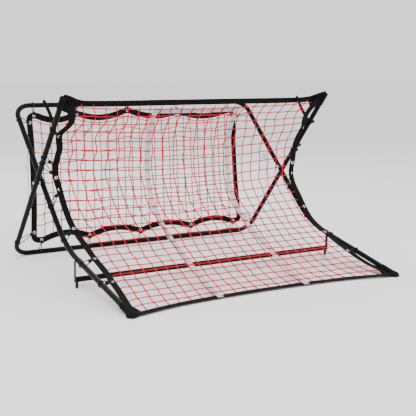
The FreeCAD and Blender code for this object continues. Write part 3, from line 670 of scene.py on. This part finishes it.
TARGET_X, TARGET_W, TARGET_T = 0.290, 0.036, 0.0016
CROSS_W = 0.032
TARGET_LIFT = -0.0045       # the white bands lie behind the netting
TARGET_DRIFT = 0.018        # both drift to the left on the last 30% of their length
v = np.linspace(0.018, 1.0, 160)
for side, centre_x in zip(SIDES, (-TARGET_X, TARGET_X)):
    half_width = np.interp(v, np.linspace(0, 1, len(side_line)), side_line[:, 0]) - BAND_W / 2
    place = front_surface(centre_x / half_width, v, TARGET_LIFT)
    place[:, 0] -= TARGET_DRIFT * np.clip((v - 0.7) / 0.3, 0, 1) ** 2
    place = place[place[:, 1] > -0.740]
    over = np.stack([np.full(6, centre_x - TARGET_DRIFT), np.linspace(-0.747, -0.780, 6),
                     np.linspace(0.0215, 0.0140, 6)], axis=1)
    line = np.concatenate([place, over])
    target = band_piece("front_target_band_" + side, tape(line, (1, 0, 0), TARGET_W, TARGET_T),
                        white_webbing, "front_target_bands", (TARGET_W, arc_length(line)))
    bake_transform(target)
cross_u = np.linspace(-TARGET_X, TARGET_X, 60) / 0.83
cross = front_surface(cross_u, np.full(60, 0.034), TARGET_LIFT - 0.002)
cross_band = band_piece("front_target_cross_band", tape(cross, (0, 0.5, -0.86), CROSS_W, TARGET_T),
                        white_webbing, "front_target_bands", (CROSS_W, arc_length(cross)))
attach(cross_band, "base_frame")

# ---- corner pockets ----
# Cups of black polyester canvas sewn into the four corners of the net. Each is pulled over a tube
# end; its seam stands up past the end, and a gusset ties it to the bands on both sides.

TUBE_R = 0.0159
UP_LEG = np.array([0.0, -0.642788, 0.766044])
BASE_BAR = np.array([0.0, 0.7773, 0.0159])
BASE_X = 0.915
SWING_X = 0.878
TOE_DIR = np.array([0.0, -0.97585, -0.21843])
BEND = np.array([0.0, -0.01316, 0.19853])
base_end = BASE_BAR + UP_LEG * 1.355 + (BASE_X, 0, 0)
toe_end = BEND + TOE_DIR * 0.826 + (SWING_X, 0, 0)


def pocket_cup(end, axis, seam_side, length, nose, swell, seed):
    """Canvas sleeve round a tube end that closes into a flat seam past it.

    Each ring is an ellipse. The half width is 18 mm, swells by swell past the end and narrows by
    7 mm at the seam; the half thickness falls to 2 mm as cos; wrinkles are up to 1 mm.
    """
    draw = np.random.default_rng(seed)
    s = np.concatenate([np.linspace(-length, 0.003, 16), np.linspace(0.006, nose, 8)])
    past = np.clip((s - 0.003) / (nose - 0.003), 0, 1)
    thick = 0.0181 * np.cos(past * math.pi / 2 * 0.93)
    broad = 0.0181 + swell * np.sin(past * math.pi) - 0.007 * past ** 2
    broad[0] += 0.0010      # the turned hem of the open end
    thick[0] += 0.0010
    turn = ring_turns(24)
    phase = draw.uniform(0, 2 * math.pi, 3)
    crease = 1 + 0.035 * np.sin(3 * turn[None] + s[:, None] * 190 + phase[0])
    crease += 0.02 * np.sin(5 * turn[None] - s[:, None] * 260 + phase[1])
    crease = np.maximum(crease, 0.985)
    profile = np.stack([broad[:, None] * np.cos(turn)[None] * crease,
                        thick[:, None] * np.sin(turn)[None] * crease], axis=-1)
    return carry(profile, end + s[:, None] * axis, seam_side)


def gusset(corners, sag, thick):
    """Sewn panel between four places: a bilinear patch that sags by sag sin(pi a) sin(pi b)."""
    a, b = np.meshgrid(np.linspace(0, 1, 17), np.linspace(0, 1, 13), indexing="ij")
    a, b = a[..., None], b[..., None]
    p00, p01, p10, p11 = (np.asarray(c, float) for c in corners)
    patch = p00 * (1 - a) * (1 - b) + p01 * (1 - a) * b + p10 * a * (1 - b) + p11 * a * b
    patch = patch + np.asarray(sag) * np.sin(math.pi * a) * np.sin(math.pi * b)
    patch = patch + np.asarray(sag) * 0.12 * np.sin(9 * a + 7 * b)
    normal = np.cross(np.gradient(patch, axis=0), np.gradient(patch, axis=1))
    normal /= np.linalg.norm(normal, axis=-1, keepdims=True)
    return np.concatenate([patch + normal * thick / 2, (patch - normal * thick / 2)[:, ::-1]],
                          axis=1)[:, ::-1]


def canvas(name, tones):
    """Plain-woven canvas on Object coordinates: crossed sine threads.

    Real threads are 0.5 mm apart; they are drawn 2.5 mm apart so that they show.
    """
    material, shader = new_surface(name, Roughness=0.8, Specular_IOR_Level=0.08)
    place = add_node(material, "TexCoord").outputs["Object"]
    split = add_node(material, "SeparateXYZ", {"Vector": place})
    weave = add_node(material, "Math", {0: wave(material, split.outputs["X"], 0.0025),
                                        1: wave(material, split.outputs["Z"], 0.0025)},
                     operation="MULTIPLY")
    # the threads' crossings are painted lighter and the hollows between them darker, as painted shade,
    # on top of patches of wear
    wear_and_relief_shade(material, shader, weave.outputs[0], 0.12, 35.0, 5.0, tones, 0.5, 0.0004, (0.0, 1.0))
    return material


black_canvas = canvas("black_polyester_canvas", ("#060607", "#151517"))
top_cup = pocket_cup(base_end, UP_LEG, (1, 0, 0), 0.075, 0.013, 0.002, 11)
top_gusset = gusset((base_end - UP_LEG * 0.080 + (0.006, -0.004, 0), base_end + UP_LEG * 0.020,
                     (0.842, -0.040, 0.958), (0.790, -0.064, 1.038)), (0, 0.004, 0.002), 0.004)
toe_cup = pocket_cup(toe_end, TOE_DIR, (1, 0, 0), 0.078, 0.060, 0.017, 12)
toe_gusset = gusset((toe_end - TOE_DIR * 0.080 - (0.004, 0, 0), toe_end + TOE_DIR * 0.050,
                     (0.836, -0.735, 0.032), (0.806, -0.832, 0.012)), (0, 0, -0.002), 0.004)
GROUND = 0.0008             # least height of a piece that lies on the ground
for grid in (toe_cup, toe_gusset):
    grid[..., 2] = np.maximum(grid[..., 2], GROUND + 0.02 * np.maximum(0, 0.004 - grid[..., 2]))
for name, node, body, cup, panel in (
        ("top_corner_pockets", "top_pockets", "base_frame", top_cup, top_gusset),
        ("toe_corner_pockets", "toe_pockets", "swing_frame", toe_cup, toe_gusset)):
    pockets = make_piece(name, [cup, mirrored(cup), panel, mirrored(panel)], black_canvas, sharp=60)
    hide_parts(node)
    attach(pockets, body)

# ---- front grommets ----
# Brassed steel eyelets pressed through the side bands, one for each bungee. The rim is rolled
# over on both faces, and the plating is pale and bright.

GROMMET_R = 0.0074
RIM_R = 0.0038


def eyelet(place, hole_way):
    """A rolled rim: a round profile, flattened to 0.62, carried round a circle about the hole."""
    hole_way = unit(hole_way)
    side = np.cross(hole_way, (1.0, 0.0, 0.0))
    if np.linalg.norm(side) < 0.1:
        side = np.cross(hole_way, (0.0, 0.0, 1.0))
    side = unit(side)
    front = np.cross(side, hole_way)
    turn = np.arange(20) * 2 * math.pi / 20
    circle = place + GROMMET_R * (np.cos(turn)[:, None] * front + np.sin(turn)[:, None] * side)
    return carry(round_profile(RIM_R, 8) * (0.62, 1.0), circle, hole_way, closed=True)


brass = plated("brassed_eyelet_steel", ("#E8D6AE", "#FBF3DE"), 0.34, 1.0)
# each tie's eyelet on the right side band, its place on the tube and the tube's direction there
TIES = (((0.873, 0.077, 0.832), (BASE_X, 0.0624, 0.8678), (0, -0.6428, 0.7660)),
        ((0.866, 0.163, 0.653), (BASE_X, 0.2041, 0.6990), (0, -0.6428, 0.7660)),
        ((0.858, 0.166, 0.583), (BASE_X, 0.2360, 0.6610), (0, -0.6428, 0.7660)),
        ((0.843, 0.158, 0.513), (SWING_X, 0.2104, 0.4099), (0, 0.7266, 0.6871)),
        ((0.830, -0.013, 0.308), (SWING_X, 0.0157, 0.2411), (0, 0.8447, 0.5352)),
        ((0.814, -0.264, 0.179), (SWING_X, -0.2432, 0.1470), (0, 0.9759, 0.2184)),
        ((0.816, -0.492, 0.098), (SWING_X, -0.4913, 0.0915), (0, 0.9759, 0.2184)))
slope = np.gradient(edge_line, axis=0)
eyelets, hole_ways = [], []
for grommet, _, _ in TIES:
    near = int(np.argmin(np.linalg.norm(edge_line - grommet, axis=1)))
    hole_ways.append(np.cross(slope[near], (1.0, 0.0, 0.0)))
    eyelets.append(eyelet(np.array(grommet), hole_ways[-1]))
eyelets += [mirrored(e) for e in eyelets]
front_eyelets = make_piece("front_band_eyelets", eyelets, brass, closed=True, sharp=60)
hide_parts("front_grommets")
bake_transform(front_eyelets)

# ---- bungee ties ----
# Each tie is a loop of 6 mm shock cord: through the eyelet, round the tube and back, with both
# ends knotted inside a black moulded ball that slides on the loop.

CORD_R = 0.0029
BALL_R = 0.0120


def bungee_loop(eye, hole_way, leg, leg_way, leg_r):
    """Closed loop round the tube and through the eyelet.

    Half an arc of radius leg_r behind the tube and half an arc of radius 3.5 mm past the eyelet,
    joined by two straight strands; the plane turns from the tube's to the eyelet's on the way.
    """
    eye, leg = np.asarray(eye, float), np.asarray(leg, float)
    way = unit(leg - eye)
    big = np.cross(unit(leg_way), way)
    lean = np.linalg.norm(big)
    big /= lean
    small = unit(hole_way - way * np.dot(hole_way, way))
    if np.dot(small, big) < 0:
        small = -small
    turn = np.linspace(-math.pi / 2, math.pi / 2, 17)[:, None]
    far = leg + leg_r * (np.cos(turn) * way / lean + np.sin(turn) * big)
    back = turn[::2]
    near = eye + 0.0035 * (np.sin(back) * small - np.cos(back) * way)
    near = near if np.dot(near[0] - eye, big) > 0 else near[::-1]
    share = np.linspace(0, 1, 8)[1:-1, None]
    go = far[-1] * (1 - share) + near[0] * share
    come = near[-1] * (1 - share) + far[0] * share
    path = np.concatenate([far, go, near, come])
    side = np.cross(way, big)
    return carry(round_profile(CORD_R, 8), path, side, closed=True)


def ball(place, way):
    """Moulded ball with a flat at each cord hole: rings of radius R cos t at height R sin t."""
    t = np.linspace(-1.25, 1.25, 11)
    return ring_grid(BALL_R * np.cos(t), BALL_R * np.sin(t), 16, place, way, (0.3, 0.5, 0.8))


black_cord = braided_twine("black_shock_cord", ("#0B0B0D", "#3A3B3F"))
black_ball = moulded("black_moulded_ball", ("#08080A", "#131316"), 0.0008, 0.32)
TIE_PARTS = {"cords": (black_cord, "bungee_cord", True),
             "balls": (black_ball, "ball_plastic", False)}


def tie_piece(part, name, grids, node, body=None):
    """All the cords, or all the balls, of one row of ties, which may ride on a body."""
    material, slot, looped = TIE_PARTS[part]
    piece = make_piece(name, grids, material, closed=looped, sharp=80)
    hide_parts(node)
    if body:
        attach(piece, body)
    return piece


WRAP_R = TUBE_R + CORD_R + 0.0004
BALL_OUT = 0.024            # how far outside the eyelet a ball hangs, across
loops, balls, outer_balls = [], [], []
for (grommet, leg, leg_way), hole_way in zip(TIES, hole_ways):
    loops.append(bungee_loop(grommet, hole_way, leg, leg_way, WRAP_R))
    way = unit(np.subtract(leg, grommet))
    reach = np.clip(BALL_OUT / way[0], 0.028, 0.046)
    balls.append(ball(np.array(grommet) + way * reach, way))
    outer_balls.append(ball(np.array(leg) + (TUBE_R + BALL_R + 0.002, 0, 0), leg_way))
tie_piece("cords", "upper_front_bungee_loops", loops[:3] + [mirrored(g) for g in loops[:3]],
          "upper_bungee_cords", "base_frame")
# on the right the upper balls are pulled round to the outside of the leg
tie_piece("balls", "upper_front_bungee_balls", outer_balls[:3] + [mirrored(g) for g in balls[:3]],
          "upper_bungee_balls", "base_frame")
tie_piece("cords", "lower_front_bungee_loops", loops[4:] + [mirrored(g) for g in loops[4:]],
          "lower_bungee_cords", "swing_frame")
tie_piece("balls", "lower_front_bungee_balls", balls[4:] + [mirrored(g) for g in balls[4:]],
          "lower_bungee_balls", "swing_frame")
# the fourth tie hangs between the net, which spans both frames, and the swing leg, so it rides on no
# body
eye, leg, _ = TIES[3]
for side, sign in zip(SIDES, (-1, 1)):
    loop, bead = (loops[3], balls[3]) if sign > 0 else (mirrored(loops[3]), mirrored(balls[3]))
    for piece in (tie_piece("cords", "middle_bungee_loop_" + side, [loop], "lower_bungee_cords"),
                  tie_piece("balls", "middle_bungee_ball_" + side, [bead], "lower_bungee_balls")):
        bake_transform(piece)

# ---- rear net ----
# A flat panel of the same red netting in a border of black webbing, hung upright between the top
# bar and the ground bar. The border is drawn out at each tie and hollows between them.

TOP_BAR = np.array([0.0, 0.80496, 0.97219])
REAR_HALF = 0.790
REAR_TOP = 0.915
REAR_LOW = 0.093
REAR_TOP_TIES = (-0.755, -0.460, -0.090, 0.300, 0.725)
REAR_LOW_TIES = (-0.735, -0.395, -0.010, 0.395, 0.755)
REAR_BAND_W = 0.040
SCALLOP = 0.040             # depth of the border's hollows between ties
DRAWN_UP = 0.018            # how much higher the upper edge is at its third tie
SIDE_HOLLOW = 0.014
RACKED = 0.022              # how far the right side leans: inward at the top, outward below


def rear_y(z):
    """The rear net hangs 20 mm in front of the line of the bars at the top and 38 mm lower down."""
    share = (z - BASE_BAR[2]) / (TOP_BAR[2] - BASE_BAR[2])
    return BASE_BAR[1] - 0.038 + (TOP_BAR[1] - BASE_BAR[1] + 0.018) * share


def scallop(x, ties, depth):
    """Hollow between ties: 4 s (1 - s) times depth, s the share of the way to the next tie.

    Beyond the outermost ties it has 0.3 of the depth.
    """
    marks = np.array([-2 * REAR_HALF - ties[0], *ties, 2 * REAR_HALF - ties[-1]])
    k = np.clip(np.searchsorted(marks, x, side="right") - 1, 0, len(marks) - 2)
    s = (x - marks[k]) / (marks[k + 1] - marks[k])
    depth = np.where((k == 0) | (k == len(marks) - 2), depth * 0.3, depth)
    return 4 * s * (1 - s) * depth


def rear_edges(x):
    """Lower and upper edge at x; the upper one is drawn up most at its third tie."""
    drawn = DRAWN_UP * np.exp(-((x - REAR_TOP_TIES[2]) / 0.25) ** 2)
    low = REAR_LOW + scallop(x, REAR_LOW_TIES, SCALLOP)
    return low, REAR_TOP + drawn - scallop(x, REAR_TOP_TIES, SCALLOP)


def side_hollow(v):
    return SIDE_HOLLOW * 4 * v * (1 - v)


def rack(x, v):
    """The right half leans by its share of the half width times 2 RACKED (0.5 - v)."""
    return x + 2 * RACKED * np.maximum(x, 0) / REAR_HALF * (0.5 - v)


def rear_surface(u, v, lift=0.0):
    """Rear net: u across, v up; the edges' scallops die away inward as the cube of the distance."""
    x = rack(u * (REAR_HALF - side_hollow(v)), v)
    low, high = rear_edges(x)
    z = REAR_LOW + (REAR_TOP - REAR_LOW) * v + (low - REAR_LOW) * (1 - v) ** 3
    z = z - (REAR_TOP - high) * v ** 3
    return np.stack([x, rear_y(z) + lift, z], axis=-1)


def hung_rear(u, v, wander):
    """The rear net as it hangs: 4 mm in and out, with rows wandering up and down by 0.4%."""
    return rear_surface(u, v + wander * 0.004 * unrest(u * 6, v * 7, 23),
                        0.004 * unrest(u * 3, v * 3, 21))


REAR_COLUMNS, REAR_ROWS = 25, 11
INSIDE = 0.982              # the strands end under the border
rear_net = netting("rear_net_twine", hung_rear, lambda u, v: 0.005 * unrest(u * 5, v * 5, 22),
                   np.linspace(-0.906, 0.906, REAR_COLUMNS), np.linspace(0.122, 0.952, REAR_ROWS),
                   np.linspace(-INSIDE, INSIDE, 97), np.linspace(1 - INSIDE, INSIDE, 61), (0, 0, 1))
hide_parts("rear_net")
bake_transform(rear_net)


def border_line(count):
    """Closed line round the panel: top edge, right side, bottom edge, left side, corners eased."""
    x = np.linspace(-REAR_HALF, REAR_HALF, count)
    below, above = rack(x, 0.0), rack(x, 1.0)
    low, high = rear_edges(below)[0], rear_edges(above)[1]
    v = np.linspace(0, 1, count // 2)[1:-1]
    rise = low[0] + (high[0] - low[0]) * v
    right = np.stack([rack(REAR_HALF - side_hollow(v), v), rise], axis=1)[::-1]
    left = np.stack([-REAR_HALF + side_hollow(v), rise], axis=1)
    loop = np.concatenate([np.stack([above, high], 1), right, np.stack([below, low], 1)[::-1],
                           left])
    reach = 4
    eased = sum(np.roll(loop, k, axis=0) for k in range(-reach, reach + 1)) / (2 * reach + 1)
    return np.stack([eased[:, 0], rear_y(eased[:, 1]), eased[:, 1]], axis=1)


border_path = border_line(240)
inward = np.cross(np.roll(border_path, -1, axis=0) - np.roll(border_path, 1, axis=0), (0, 1, 0))
rear_webbing = webbing("black_edge_webbing", WEBBING_BLACKS, REAR_BAND_W)
flat = tape_profile(REAR_BAND_W, 0.003)
perimeter = arc_length(np.concatenate([border_path, border_path[:1]]))
rear_border = band_piece("rear_border_sewn", carry(flat, border_path, inward, closed=True),
                         rear_webbing, "rear_border", (REAR_BAND_W, perimeter), closed=True)
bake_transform(rear_border)

# ---- rear ties ----
# Ten bungee ties hold the rear net to the top bar and the ground bar, and one at each corner
# draws it out to the leg. The eyelets are the same as in front.


def border_place(x, top):
    """The border's middle at x on its upper or lower edge."""
    height = border_path[:, 2]
    pick = border_path[height > REAR_TOP - 0.06] if top else border_path[height < REAR_LOW + 0.06]
    return pick[np.argmin(np.abs(pick[:, 0] - x))]


BORDER_IN = 0.004           # the corner eyelets sit this far inside the panel's half width
CORNER_TIES = {"upper": (0.862, 0.94, SWING_X, (0.7178, 0.8897), (0, 0.7266, 0.6871)),
               "lower": (0.150, 0.07, BASE_X, (0.7002, 0.1078), (0, -0.6428, 0.7660))}
rear_eyelets = []
for row, ties, bar, body in (("upper", REAR_TOP_TIES, TOP_BAR, "swing_frame"),
                             ("lower", REAR_LOW_TIES, BASE_BAR, "base_frame")):
    loops, balls = [], []
    for x in ties:
        place = border_place(x, row == "upper")
        rear_eyelets.append(eyelet(place, (0, 1, 0)))
        foot = np.array([x, bar[1], bar[2]])
        loops.append(bungee_loop(place, (0, 1, 0), foot, (1, 0, 0), WRAP_R))
        way = unit(foot - place)
        balls.append(ball(place + way * 0.016 - np.array([0, 0.011, 0]), (0.4, 0, 1)))
    for sign in (-1, 1):
        z, share, leg_x, leg_yz, leg_way = CORNER_TIES[row]
        place = np.array([rack(sign * (REAR_HALF - BORDER_IN), share), rear_y(z), z])
        leg = np.array([sign * leg_x, *leg_yz])
        rear_eyelets.append(eyelet(place, (0, 1, 0)))
        loops.append(bungee_loop(place, (0, 1, 0), leg, leg_way, WRAP_R))
        way = unit(leg - place)
        balls.append(ball(place + way * 0.024, way))
    for loop in loops:
        loop[..., 2] = np.maximum(loop[..., 2], GROUND)
    tie_piece("cords", "rear_" + row + "_bungee_loops", loops, "rear_" + row + "_cords", body)
    tie_piece("balls", "rear_" + row + "_bungee_balls", balls, "rear_" + row + "_balls", body)
rear_eyes = make_piece("rear_border_eyelets", rear_eyelets, brass, closed=True, sharp=60)
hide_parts("rear_grommets")
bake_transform(rear_eyes)

# ---- storage straps ----
# A 20 mm black webbing strap sewn round each base leg near its top, with a free tail cut to a
# point that ties the folded frames together.

STRAP_W, STRAP_T = 0.020, 0.0018
TAIL = 0.205                # length of the free tail
HOOP_R = TUBE_R + 0.0014
OUT = np.array([1.0, 0, 0])
strap_place = BASE_BAR + UP_LEG * 1.116 + (BASE_X, 0, 0)
strap_way = np.array([0.0, math.cos(math.radians(48)), math.sin(math.radians(48))])
turn = np.arange(40) * 2 * math.pi / 40
hoop = strap_place + HOOP_R * (np.cos(turn)[:, None] * OUT
                               + np.sin(turn)[:, None] * np.cross(UP_LEG, OUT))
hoop_grid = carry(tape_profile(STRAP_W, STRAP_T), hoop, UP_LEG, closed=True)
tail_s = np.linspace(0, TAIL, 40)
bow = 0.006 * np.sin(tail_s / TAIL * math.pi * 1.3)
tail_start = strap_place - (0.009, 0, 0) + strap_way * (TUBE_R + 0.0006)
tail_line = tail_start + tail_s[:, None] * strap_way - bow[:, None] * OUT
tail_width = STRAP_W * np.clip((TAIL + 0.004 - tail_s) / 0.016, 0.2, 1)
twist = np.radians(35 + 40 * tail_s / TAIL)[:, None]
tail_wide = np.cos(twist) * np.cross(strap_way, OUT) - np.sin(twist) * OUT
tails = [tape(tail_line * (sign, 1, 1), tail_wide, tail_width, STRAP_T) for sign in (-1, 1)]
strap_webbing = webbing("black_strap_webbing", WEBBING_BLACKS, STRAP_W)
for side, hoop_part, tail_part in zip(SIDES, (mirrored(hoop_grid), hoop_grid), tails):
    hoop_piece = band_piece("storage_strap_hoop_" + side, hoop_part, strap_webbing,
                            "storage_straps", (STRAP_W, 2 * math.pi * HOOP_R), closed=True)
    tail = band_piece("storage_strap_tail_" + side, tail_part, strap_webbing, "storage_straps",
                      (STRAP_W, TAIL))
    for piece in (hoop_piece, tail):
        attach(piece, "base_frame")
